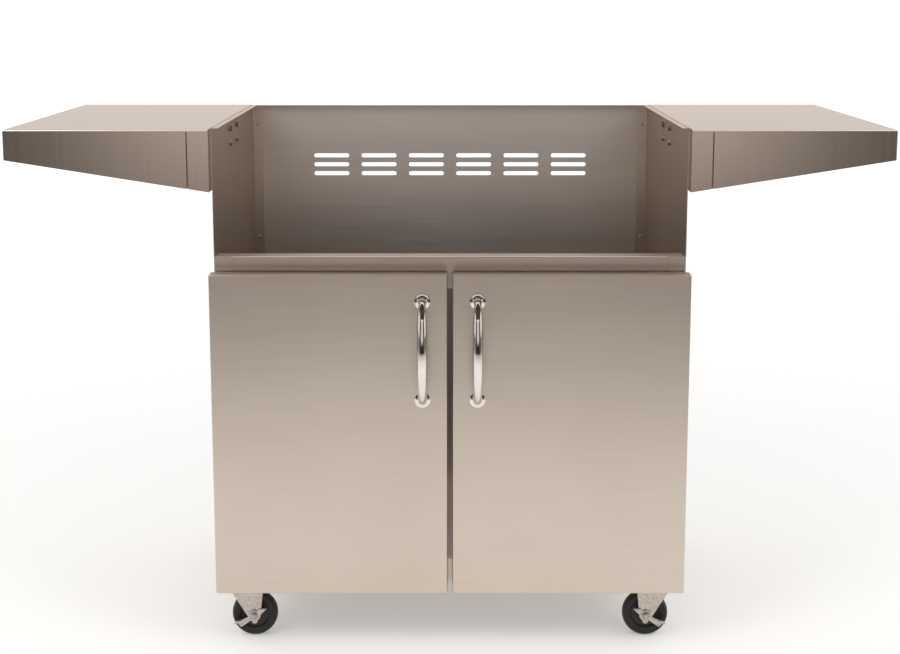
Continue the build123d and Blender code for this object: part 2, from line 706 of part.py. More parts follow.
def build_caster(name, x, y, inward):
    """Fork, axle, hub and tyre of one caster; the wheel trails towards the cart's middle."""
    wheel_x = x + inward * caster_trail
    braked = name.startswith("front")
    with BuildPart() as fork:
        with BuildSketch(at_y(y + fork_half)):
            with BuildLine():
                CenterArc((wheel_x, wheel_radius), fork_boss, 0, 360)
                Line((x - inward * fork_back, crown_height), (x + inward * fork_front, crown_height))
            make_hull()
        extrude(amount=2 * fork_half)
        crown = fork.faces().sort_by(Axis.Z)[-1]
        fillet(crown.edges().filter_by(Axis.X), radius=fork_sheet)
        with Locations((x, y, crown_under / 2)):
            Box(6 * wheel_radius, fork_gap, crown_under, mode=Mode.SUBTRACT)
        with BuildSketch(Plane.XY.offset(crown_height)):
            with Locations((x, y)):
                Circle(race_radius - bend)
        extrude(amount=race_split - side_gap / 2 - crown_height)
        with Locations((x, y, crown_height)):
            Cylinder(kingpin_radius + run_clearance, crown_height, mode=Mode.SUBTRACT)
        with Locations((wheel_x, y, wheel_radius)):
            Cylinder(axle_radius + run_clearance, 4 * fork_half, rotation=(90, 0, 0), mode=Mode.SUBTRACT)
    keep(name + "_fork", fork)

    nut_seat = lever_front + side_gap if braked else fork_half
    with BuildPart() as axle:
        with BuildSketch(at_y(y + fork_half)):
            with Locations((wheel_x, wheel_radius)):
                Circle(axle_radius)
        extrude(amount=fork_half + nut_seat + axle_head_height)
        with BuildSketch(at_y(y + fork_half + axle_head_height)):
            with Locations((wheel_x, wheel_radius)):
                RegularPolygon(axle_head, 6)
        extrude(amount=axle_head_height)
        with BuildSketch(at_y(y - nut_seat)):
            with Locations((wheel_x, wheel_radius)):
                RegularPolygon(axle_head, 6)
        extrude(amount=axle_head_height)
    keep(name + "_axle", axle)

    wheel_axis = Axis((wheel_x, y, wheel_radius), (0, 1, 0))
    wheel_plane = Plane((wheel_x, y, wheel_radius), x_dir=(1, 0, 0), z_dir=(0, 0, 1))
    boss_half = fork_gap / 2 - side_gap
    bore = axle_radius + run_clearance
    with BuildPart() as hub:
        with BuildSketch(wheel_plane):
            with BuildLine():
                Polyline((bore, -boss_half), (hub_boss, -boss_half), (hub_boss, -hub_width / 4),
                         (rim_radius - sheet, -hub_width / 4), (rim_radius - sheet, -hub_width / 2),
                         (rim_radius, -hub_width / 2), (rim_radius, hub_width / 2),
                         (rim_radius - sheet, hub_width / 2), (rim_radius - sheet, hub_width / 4),
                         (hub_boss, hub_width / 4), (hub_boss, boss_half), (bore, boss_half), close=True)
            make_face()
        revolve(axis=wheel_axis)
    keep(name + "_hub", hub)

    shoulder = wheel_width / 4
    with BuildPart() as tyre:
        with BuildSketch(wheel_plane):
            with Locations(((rim_radius + wheel_radius) / 2, 0)):
                RectangleRounded(wheel_radius - rim_radius, wheel_width, shoulder / 2)
        revolve(axis=wheel_axis)
    keep(name + "_tyre", tyre)

    if braked:
        build_lever(name, wheel_x, y, inward)


def build_lever(name, wheel_x, y, inward):
    """Foot lever of one brake: pedal outward and down, nose inward and up, short lobe below."""
    slope = radians(pedal_angle)
    outer = -inward
    pedal = (outer * pedal_length * cos(slope), -pedal_length * sin(slope))
    nose = (-outer * nose_length * cos(slope), nose_length * sin(slope))
    lobe = (0, -lobe_length)
    with BuildPart() as lever:
        with BuildSketch(Plane((wheel_x, y - fork_half - side_gap, wheel_radius), x_dir=(1, 0, 0),
                               z_dir=(0, -1, 0))) as face:
            add(arm_outline(pedal, pedal_tip))
            add(arm_outline(nose, nose_tip))
            add(arm_outline(lobe, lobe_tip))
            Circle(axle_radius + run_clearance, mode=Mode.SUBTRACT)
        extrude(amount=lever_sheet)
        tread = Plane((wheel_x, y - fork_half - side_gap, wheel_radius), x_dir=(cos(slope), 0, outer * -sin(slope)),
                      z_dir=(0, -1, 0))
        with BuildSketch(tread):
            with Locations((outer * pedal_length, pedal_tip - lever_sheet / 2)):
                Rectangle(2 * pedal_tip, lever_sheet)
        extrude(amount=pedal_pad)
    keep(name + "_brake_lever", lever)


for corner, (x, y, inward) in casters.items():
    build_caster(corner, x, y, inward)

os.makedirs("parts", exist_ok=True)
for name, piece in pieces.items():
    piece.label = name
    export_step(piece, "parts/" + name + ".step")
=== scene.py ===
"""Dressed scene of the grill cart: sheet metal finishes, turned and pressed small parts, studio and camera.

Meshes are modelled in millimetres, +Z up, front towards -Y, and brought to metres when a piece is added.
The studio is laid out in metres.
"""
from __future__ import annotations

import json
import logging
import math
from dataclasses import dataclass
from enum import Enum
from typing import Any, Sequence

import bmesh
import bpy
from mathutils import Matrix, Vector

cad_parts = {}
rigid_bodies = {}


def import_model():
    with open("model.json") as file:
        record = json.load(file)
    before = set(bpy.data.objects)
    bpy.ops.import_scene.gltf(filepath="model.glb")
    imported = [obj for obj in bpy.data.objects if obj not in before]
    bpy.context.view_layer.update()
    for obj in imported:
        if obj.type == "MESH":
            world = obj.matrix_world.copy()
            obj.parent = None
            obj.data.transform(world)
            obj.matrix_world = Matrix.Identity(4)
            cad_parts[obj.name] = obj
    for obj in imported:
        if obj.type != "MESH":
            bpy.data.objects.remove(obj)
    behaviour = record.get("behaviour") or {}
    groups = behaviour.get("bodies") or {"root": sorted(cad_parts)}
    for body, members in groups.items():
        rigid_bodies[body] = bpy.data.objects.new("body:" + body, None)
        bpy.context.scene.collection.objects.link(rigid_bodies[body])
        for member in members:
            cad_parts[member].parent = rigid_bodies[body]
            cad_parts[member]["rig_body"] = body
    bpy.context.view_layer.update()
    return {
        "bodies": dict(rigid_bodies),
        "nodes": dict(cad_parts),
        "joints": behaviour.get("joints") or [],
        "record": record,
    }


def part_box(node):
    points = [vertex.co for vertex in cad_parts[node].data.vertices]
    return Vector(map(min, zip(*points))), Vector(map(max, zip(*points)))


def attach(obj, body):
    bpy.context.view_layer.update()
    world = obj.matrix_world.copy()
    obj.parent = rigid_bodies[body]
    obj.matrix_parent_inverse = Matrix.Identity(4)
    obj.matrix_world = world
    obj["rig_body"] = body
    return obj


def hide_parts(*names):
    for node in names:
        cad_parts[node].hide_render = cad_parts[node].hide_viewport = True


LOG = logging.getLogger("grill_cart")
MM = 0.001
# Angle between faces from which an edge is drawn sharp
SHARP_EDGE = math.radians(32.0)
# Angle in degrees that leaves a pressed plate's rounded outline as drawn and softens its rims alone
PLATE_EDGE = 60.0
WELD = 1e-4
SCREW_FLATS = 24
# Shares of a thread's pitch and of a hexagon's radius
THREAD_DEPTH = 0.55
HEX_SOFTNESS = 0.1
SIDES = {"left": -1, "right": 1}

Point = tuple[float, float, float]
Span = tuple[float, float]
Profile = Sequence[Span]
Socket = bpy.types.NodeSocket
Shape = bmesh.types.BMesh


class Grain(Enum):
    """Direction in which a sheet was brushed."""

    ACROSS = "across the cart's width"
    DEPTH = "from the front of the cart to its back"


class Slot(Enum):
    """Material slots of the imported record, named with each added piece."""

    FASTENER = "fastener_steel"
    ZINC = "zinc"
    POLISHED = "polished"
    TYRE = "tyre"
    HUB = "hub_plastic"
    CATCH = "catch_plastic"
    CLAMP = "clamp_plastic"
    GROMMET = "grommet_rubber"


def linear(code: str) -> tuple[float, float, float, float]:
    """Turn an sRGB hex colour into linear RGBA.

    Args:
        code: Colour such as "#D1C4B8".

    Returns:
        Linear red, green and blue with an alpha of 1.
    """
    parts = [int(code[i:i + 2], 16) / 255.0 for i in (1, 3, 5)]
    red, green, blue = (c / 12.92 if c <= 0.04045 else ((c + 0.055) / 1.055) ** 2.4 for c in parts)
    return red, green, blue, 1.0


class Nodes:
    """Node tree of one material or world while it is being built."""

    def __init__(self, owner: bpy.types.Material | bpy.types.World) -> None:
        """Empty the owner's tree and keep it."""
        owner.use_nodes = True
        self.tree = owner.node_tree
        self.tree.nodes.clear()

    def add(self, kind: str, inputs: dict[str | int, Any] | None = None, **settings: Any) -> Any:
        """Add one shader node.

        Args:
            kind: Type name of the node, without its "ShaderNode".
            inputs: By socket name or number, a value to set or an output socket to join.
            settings: Attributes of the node itself.

        Returns:
            The node's output sockets.
        """
        made = self.tree.nodes.new("ShaderNode" + kind)
        for key, value in settings.items():
            setattr(made, key, value)
        for key, value in (inputs or {}).items():
            if isinstance(value, Socket):
                self.tree.links.new(value, made.inputs[key])
            else:
                made.inputs[key].default_value = value
        return made.outputs

    def noise(self, place: Socket, size: float, detail: float, roughness: float = 0.5,
              distortion: float = 0.0) -> Socket:
        """Add noise with spots of about a size in millimetres and return its value."""
        return self.add("TexNoise", {"Vector": place, "Scale": 1.0 / (size * MM), "Detail": detail,
                                     "Roughness": roughness, "Distortion": distortion})[0]

    def ramp(self, value: Socket, source: Span = (0.0, 1.0), target: tuple[Any, Any] = (0.0, 1.0),
             shape: str = "LINEAR") -> Socket:
        """Map a value from one range to another, held at both ends, and return the result."""
        return self.add("MapRange", {"Value": value, "From Min": source[0], "From Max": source[1],
                                     "To Min": target[0], "To Max": target[1]}, interpolation_type=shape)[0]

    def math(self, operation: str, *terms: Socket | float) -> Socket:
        """Add a math node over one or two terms and return its value."""
        return self.add("Math", dict(enumerate(terms)), operation=operation)[0]

    def blend(self, factor: Socket | float, first: Socket | float, last: Socket | float) -> Socket:
        """Add a mix of two numbers and return it."""
        return self.add("Mix", {"Factor": factor, 2: first, 3: last}, data_type="FLOAT")[0]

    def tint(self, factor: Socket, first: str, last: str) -> Socket:
        """Add a mix of two sRGB hex colours and return it."""
        return self.add("Mix", {"Factor": factor, 6: linear(first), 7: linear(last)}, data_type="RGBA")[2]

    def bump(self, height: Socket, strength: float, depth: float) -> Socket:
        """Add a bump of a depth in millimetres and return its normal."""
        return self.add("Bump", {"Height": height, "Strength": strength, "Distance": depth * MM})[0]

    def surface(self, shader: Socket) -> None:
        """Make a shader the material's surface."""
        self.add("OutputMaterial", {"Surface": shader})


@dataclass(frozen=True)
class Finish:
    """Base of the finishes: a name and one shared Blender material."""

    name: str

    def material(self) -> bpy.types.Material:
        """Return the finish's material, building it the first time it is asked for."""
        found = bpy.data.materials.get(self.name)
        if found is None:
            found = bpy.data.materials.new(self.name)
            nodes = Nodes(found)
            nodes.surface(self.shade(nodes))
        return found

    def shade(self, nodes: Nodes) -> Socket:
        """Build the finish's nodes and return its shader."""
        raise NotImplementedError


@dataclass(frozen=True)
class BrushedStainless(Finish):
    """Stainless sheet brushed with a belt: warm grey, fine parallel streaks, soft reflections across them."""

    grain: Grain = Grain.ACROSS
    dark: str = "#CABCB0"
    light: str = "#D7CABE"
    edge: str = "#E7DDD6"
    rough: Span = (0.29, 0.37)
    # Real belt marks are about 0.1 mm wide; these are the finest that show from where the camera stands
    mark_width: float = 1.1
    mark_length: float = 180.0
    mark_height: float = 0.04
    mark_strength: float = 0.25
    mark_contrast: Span = (0.3, 0.7)
    cloud_size: float = 260.0
    cloud_share: float = 0.35
    # Faces whose normal has more than this along the fold axis are flanges, where the grain turns
    fold_limit: float = 0.7

    def shade(self, nodes: Nodes) -> Socket:
        """Build streaks along the grain that vary colour, roughness and height.

        Args:
            nodes: Node tree of the material.

        Returns:
            The metal's shader.
        """
        fine, long = 1.0 / (self.mark_width * MM), 1.0 / (self.mark_length * MM)
        across, depth, upright = (long, fine, fine), (fine, long, fine), (fine, fine, long)
        flat, folded, fold_axis = {
            Grain.ACROSS: (across, depth, "X"),
            Grain.DEPTH: (depth, upright, "Y"),
        }[self.grain]
        place = nodes.add("TexCoord")
        facing = nodes.math("ABSOLUTE", nodes.add("SeparateXYZ", {0: place["Normal"]})[fold_axis])
        plain, bent = (nodes.add("Mapping", {"Vector": place["Object"], "Scale": scale})[0]
                       for scale in (flat, folded))
        along = nodes.add("Mix", {"Factor": nodes.math("GREATER_THAN", facing, self.fold_limit), 4: plain,
                                  5: bent}, data_type="VECTOR")[1]
        streak = nodes.noise(along, 1.0 / MM, detail=4.0, roughness=0.65)
        cloud = nodes.noise(place["Object"], self.cloud_size, detail=2.0)
        tone = nodes.ramp(nodes.blend(self.cloud_share, streak, cloud), self.mark_contrast)
        return nodes.add("BsdfPrincipled", {
            "Metallic": 1.0, "Specular Tint": linear(self.edge),
            "Base Color": nodes.tint(tone, self.dark, self.light),
            "Roughness": nodes.ramp(streak, self.mark_contrast, self.rough),
            "Normal": nodes.bump(streak, self.mark_strength, self.mark_height)})[0]


@dataclass(frozen=True)
class PolishedStainless(Finish):
    """Cast stainless polished with a buff: mirror reflections with a few soft haze marks."""

    colour: str = "#E8E3DE"
    haze: str = "#D9D2CB"
    rough: Span = (0.03, 0.12)
    haze_size: float = 9.0

    def shade(self, nodes: Nodes) -> Socket:
        """Build a mirror metal whose haze varies a little from place to place and return its shader."""
        haze = nodes.noise(nodes.add("TexCoord")["Object"], self.haze_size, detail=3.0)
        return nodes.add("BsdfPrincipled", {
            "Metallic": 1.0, "Base Color": nodes.tint(haze, self.colour, self.haze),
            "Roughness": nodes.ramp(haze, target=self.rough)})[0]


@dataclass(frozen=True)
class PlatedSteel(Finish):
    """Pressed steel, zinc plated and passivated: pale grey with cloudy dull patches."""

    bright: str = "#CBC2B9"
    dull: str = "#B3A99F"
    rough: Span = (0.26, 0.42)
    patch_size: float = 5.0
    patch_contrast: Span = (0.35, 0.65)
    pit_size: float = 0.9
    pit_depth: float = 0.1
    pit_strength: float = 0.1

    def shade(self, nodes: Nodes) -> Socket:
        """Build the cloudy plating over a slightly pitted surface and return its shader."""
        place = nodes.add("TexCoord")["Object"]
        patch = nodes.noise(place, self.patch_size, detail=5.0, roughness=0.6, distortion=0.4)
        patch = nodes.ramp(patch, self.patch_contrast)
        pits = nodes.noise(place, self.pit_size, detail=2.0)
        return nodes.add("BsdfPrincipled", {
            "Metallic": 1.0, "Base Color": nodes.tint(patch, self.bright, self.dull),
            "Roughness": nodes.ramp(patch, target=self.rough),
            "Normal": nodes.bump(pits, self.pit_strength, self.pit_depth)})[0]


@dataclass(frozen=True)
class Moulded(Finish):
    """Moulded rubber or plastic: dark, matt, with a fine mould texture and a little grey dust."""

    colour: str = "#2F2E2B"
    dust: str = "#42403D"
    rough: Span = (0.5, 0.72)
    specular: float = 0.4
    texture_size: float = 0.7
    texture_depth: float = 0.1
    texture_strength: float = 0.25
    dust_size: float = 14.0
    dust_contrast: Span = (0.45, 0.8)

    def shade(self, nodes: Nodes) -> Socket:
        """Build the dusty mould texture and return its shader."""
        place = nodes.add("TexCoord")["Object"]
        dust = nodes.noise(place, self.dust_size, detail=6.0, roughness=0.7)
        dust = nodes.ramp(dust, self.dust_contrast)
        skin = nodes.noise(place, self.texture_size, detail=3.0)
        return nodes.add("BsdfPrincipled", {
            "Specular IOR Level": self.specular, "Base Color": nodes.tint(dust, self.colour, self.dust),
            "Roughness": nodes.ramp(dust, target=self.rough),
            "Normal": nodes.bump(skin, self.texture_strength, self.texture_depth)})[0]


PANEL_STEEL = BrushedStainless("brushed_stainless_panel")
SHELF_STEEL = BrushedStainless("brushed_stainless_shelf", grain=Grain.DEPTH, rough=(0.19, 0.26))
MILL_STEEL = BrushedStainless("mill_finish_stainless", dark="#C6BDB5", light="#D6CEC7", rough=(0.34, 0.46))
# Painted shade: the liner is tinted darker than the other stainless so that the gap between the doors shows
# dark
LINER_STEEL_PAINTED_SHADE = BrushedStainless("stainless_liner_painted_shade", dark="#857B73", light="#958B82",
                               rough=(0.38, 0.5))
MIRROR_STEEL = PolishedStainless("polished_cast_stainless")
ZINC_STEEL = PlatedSteel("zinc_plated_steel")
FASTENER_STEEL = PlatedSteel("plain_steel_fastener", bright="#C2BBB4", dull="#9E9791", rough=(0.2, 0.36),
                             patch_size=4.0)
TYRE_RUBBER = Moulded("moulded_black_rubber_tyre", colour="#232220", dust="#353331")
HUB_PLASTIC = Moulded("moulded_nylon_hub", colour="#2A2927", dust="#3D3B38", rough=(0.38, 0.55))
CATCH_PLASTIC = Moulded("moulded_abs_catch", colour="#2B2B2B", dust="#3A3A3A", rough=(0.35, 0.5))
KNOB_PLASTIC = Moulded("moulded_phenolic_knob", colour="#242322", dust="#383634", rough=(0.3, 0.48))
GROMMET_RUBBER = Moulded("moulded_rubber_grommet", colour="#262523", dust="#3A3836")


def arc(centre: Span, radii: Span, start: float, end: float, steps: int = 8) -> list[Span]:
    """Give the points of an elliptical arc in a profile.

    Args:
        centre: Centre of the arc.
        radii: Half axes along the profile's first and second axis.
        start: First angle in degrees, counted from the first axis.
        end: Last angle in degrees.
        steps: Number of chords.

    Returns:
        The points from the start to the end.
    """
    angles = [math.radians(start + (end - start) * step / steps) for step in range(steps + 1)]
    return [(centre[0] + radii[0] * math.cos(angle), centre[1] + radii[1] * math.sin(angle))
            for angle in angles]


def mirrored(half: list[Span]) -> list[Span]:
    """Close a half profile with its mirror image about distance 0."""
    return [(radius, -along) for radius, along in half] + list(reversed(half))


def rounded(corners: Sequence[Point], steps: int = 5) -> list[Span]:
    """Round the corners of an outline.

    Args:
        corners: Corner points in turn, each with X, Z and how far its rounding reaches along both sides.
        steps: Chords in each rounding.

    Returns:
        The outline with a curve in place of each corner.
    """
    outline = []
    for place, (x, z, reach) in enumerate(corners):
        here = Vector((x, z))
        first = here + (Vector(corners[place - 1][:2]) - here).normalized() * reach
        last = here + (Vector(corners[(place + 1) % len(corners)][:2]) - here).normalized() * reach
        for step in range(steps + 1):
            share = step / steps
            outline.append(tuple(first.lerp(here, share).lerp(here.lerp(last, share), share)))
    return outline


def turned(profile: Profile, centre: Point = (0, 0, 0), axis: Point = (0, 0, 1), steps: int = 64) -> Shape:
    """Turn a profile about an axis, as on a lathe.

    Args:
        profile: Pairs of radius and distance along the axis, closed unless it starts on the axis.
        centre: Point on the axis that distance 0 lies at.
        axis: Direction of the axis.
        steps: Number of flats round the turn.

    Returns:
        A new bmesh with the turned shape, normals outward.
    """
    bm = bmesh.new()
    points = [bm.verts.new((radius, 0.0, along)) for radius, along in profile]
    ring = points + points[:1] if profile[0][0] else points
    edges = [bm.edges.new(pair) for pair in zip(ring, ring[1:])]
    bmesh.ops.spin(bm, geom=points + edges, cent=(0, 0, 0), axis=(0, 0, 1), angle=math.tau, steps=steps,
                   use_merge=True)
    bmesh.ops.remove_doubles(bm, verts=bm.verts, dist=WELD)
    bmesh.ops.dissolve_degenerate(bm, edges=bm.edges, dist=WELD)
    bmesh.ops.recalc_face_normals(bm, faces=bm.faces)
    set_upright(bm, centre, axis)
    return bm


def set_upright(bm: Shape, centre: Point, axis: Point) -> None:
    """Bring a shape made about Z to a centre and axis."""
    turn = Vector((0, 0, 1)).rotation_difference(Vector(axis)).to_matrix().to_4x4()
    bm.transform(Matrix.Translation(centre) @ turn)


def soften(bm: Shape, width: float, segments: int = 2, least: float = 30.0) -> None:
    """Round every edge of a shape that is sharper than an angle.

    Args:
        bm: Shape to round.
        width: Width of the rounding.
        segments: Facets across the rounding.
        least: Smallest angle between faces, in degrees, that counts as sharp.
    """
    sharp = [e for e in bm.edges if e.is_manifold and e.calc_face_angle() > math.radians(least)]
    bmesh.ops.bevel(bm, geom=sharp, offset=width, affect="EDGES", segments=segments, profile=0.5, material=-1,
                    clamp_overlap=True)


def joined(shapes: Sequence[Shape]) -> Shape:
    """Put several shapes into one bmesh and free them.

    Args:
        shapes: Shapes to join, each already in place.

    Returns:
        A new bmesh that holds them all.
    """
    whole = bmesh.new()
    for shape in shapes:
        carrier = bpy.data.meshes.new("carrier")
        shape.to_mesh(carrier)
        whole.from_mesh(carrier)
        bpy.data.meshes.remove(carrier)
        shape.free()
    return whole


def block(size: Point, centre: Point, rounding: float) -> Shape:
    """Make a block with rounded edges.

    Args:
        size: Lengths along X, Y and Z.
        centre: Middle of the block.
        rounding: Width of the edge rounding.

    Returns:
        A new bmesh with the block.
    """
    bm = bmesh.new()
    bmesh.ops.create_cube(bm, size=1.0)
    bmesh.ops.scale(bm, vec=size, verts=bm.verts)
    soften(bm, rounding)
    bmesh.ops.translate(bm, vec=centre, verts=bm.verts)
    return bm


def raised(bm: Shape, face: bmesh.types.BMFace, height: float, axis: Point = (0, 0, 1)) -> None:
    """Raise a flat face into a solid.

    Args:
        bm: Shape that holds the face alone.
        face: Face to raise.
        height: How far it rises.
        axis: Direction in which it rises.
    """
    grown = bmesh.ops.extrude_face_region(bm, geom=[face])
    moved = [v for v in grown["geom"] if isinstance(v, bmesh.types.BMVert)]
    bmesh.ops.translate(bm, verts=moved, vec=height * Vector(axis))
    bmesh.ops.recalc_face_normals(bm, faces=bm.faces)


def plate(outline: Profile, thickness: float, rounding: float) -> Shape:
    """Press a flat plate from an outline in the XZ plane, thickened towards -Y.

    Args:
        outline: Corner points as pairs of X and Z.
        thickness: Thickness of the plate.
        rounding: Width of the edge rounding.

    Returns:
        A new bmesh with the plate.
    """
    bm = bmesh.new()
    face = bm.faces.new([bm.verts.new((x, 0.0, z)) for x, z in outline])
    raised(bm, face, thickness, (0, -1, 0))
    soften(bm, rounding, least=PLATE_EDGE)
    return bm


def hexagon(radius: float, height: float, centre: Point, axis: Point) -> Shape:
    """Make a hexagonal nut or bolt head with softened corners.

    Args:
        radius: Radius over the corners.
        height: Height along the axis.
        centre: Middle of the seat face.
        axis: Direction from the seat face outward.

    Returns:
        A new bmesh with the head.
    """
    bm = bmesh.new()
    made = bmesh.ops.create_circle(bm, cap_ends=True, segments=6, radius=radius)
    raised(bm, made["verts"][0].link_faces[0], height)
    soften(bm, HEX_SOFTNESS * radius)
    set_upright(bm, centre, axis)
    return bm


@dataclass(frozen=True)
class ButtonScrew:
    """Button-head screw with a hexagonal socket, and the end of its threaded shank where one shows."""

    head_radius: float
    head_height: float
    socket_radius: float
    shank_radius: float = 0.0
    shank_length: float = 0.0
    thread_pitch: float = 1.0
    socket_floor: float = 0.35

    def shape(self, centre: Point, axis: Point) -> Shape:
        """Build one screw.

        Args:
            centre: Middle of the seat under the head.
            axis: Direction from the seat out of the head.

        Returns:
            A new bmesh with the screw.
        """
        r, h, s = self.head_radius, self.head_height, self.socket_radius
        floor = self.socket_floor * h
        dome = arc((0.0, 0.0), (r, h), math.degrees(math.acos(s / r)), 0.0)
        head = turned([(0.0, floor), (s, floor), *dome, (0.0, 0.0)], steps=SCREW_FLATS)
        for vert in head.verts:
            flat = Vector((vert.co.x, vert.co.y))
            if WELD < flat.length < s + WELD and vert.co.z > WELD:
                # Sockets are hexagons: the ring is drawn in to the flats between the corners
                angle = math.atan2(flat.y, flat.x) % (math.tau / 6) - math.tau / 12
                flat *= math.cos(math.tau / 12) / math.cos(angle)
                vert.co.x, vert.co.y = flat
        shapes = [head]
        if self.shank_length:
            shapes.append(threaded_rod(self.shank_radius, -self.shank_length, 0.0, self.thread_pitch))
        screw = joined(shapes)
        set_upright(screw, centre, axis)
        return screw


def threaded_rod(radius: float, low: float, high: float, pitch: float) -> Shape:
    """Make a rod about Z whose thread is drawn as close rings.

    Args:
        radius: Radius over the thread.
        low: Lower end along Z.
        high: Upper end along Z.
        pitch: Distance between two crests.

    Returns:
        A new bmesh with the rod.
    """
    root = radius - THREAD_DEPTH * pitch
    turns = max(1, int((high - low) / pitch))
    step = (high - low) / turns
    profile = [(0.0, low), (root, low)]
    for turn in range(turns):
        profile += [(radius, low + (turn + 0.5) * step), (root, low + (turn + 1.0) * step)]
    return turned(profile + [(0.0, high)], steps=SCREW_FLATS)


class Dresser:
    """Adds pieces to the scene and gives nodes their finishes."""

    def __init__(self, frame: dict[str, Any]) -> None:
        """Keep the loaded frame."""
        self.nodes: dict[str, bpy.types.Object] = frame["nodes"]

    def dress(self, finish: Finish, *names: str) -> None:
        """Give shown nodes a finish.

        Args:
            finish: Finish to use.
            names: Names of the nodes.
        """
        for name in names:
            mesh = self.nodes[name].data
            mesh.materials.clear()
            mesh.materials.append(finish.material())
            LOG.info("%s: %s", name, finish.name)

    def add(self, name: str, bm: Shape, finish: Finish, slot: Slot, body: str = "",
            replaces: Sequence[str] = ()) -> None:
        """Turn a shape into a piece that rides on a body.

        Args:
            name: Name of the piece.
            bm: Shape in millimetres, freed here.
            finish: Finish of the piece.
            slot: Slot of the record that the finish belongs to; not used.
            body: Body that carries the piece; left out, the body of the first node that it replaces.
            replaces: Nodes that the piece stands for.
        """
        bm.transform(Matrix.Scale(MM, 4))
        piece = meshed(name, bm, finish.material())
        piece.data.shade_smooth()
        piece.data.set_sharp_from_angle(angle=SHARP_EDGE)
        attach(piece, body or self.nodes[replaces[0]]["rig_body"])
        if replaces:
            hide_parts(*replaces)
        LOG.info("%s: %s, %d faces", name, finish.name, len(piece.data.polygons))


def placed(name: str, data: bpy.types.ID) -> bpy.types.Object:
    """Put a new object into the scene, at the origin, and return it."""
    item = bpy.data.objects.new(name, data)
    bpy.context.scene.collection.objects.link(item)
    return item


def meshed(name: str, bm: Shape, material: bpy.types.Material) -> bpy.types.Object:
    """Turn a shape into a mesh object with one material, free the shape and return the object."""
    mesh = bpy.data.meshes.new(name)
    bm.to_mesh(mesh)
    bm.free()
    mesh.materials.append(material)
    return placed(name, mesh)


def span(node: str) -> tuple[Vector, Vector]:
    """Lowest and highest corner of a node's box in millimetres."""
    low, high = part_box(node)
    return low / MM, high / MM


def middle(node: str) -> Vector:
    """Middle of a node's box in millimetres."""
    low, high = span(node)
    return (low + high) / 2


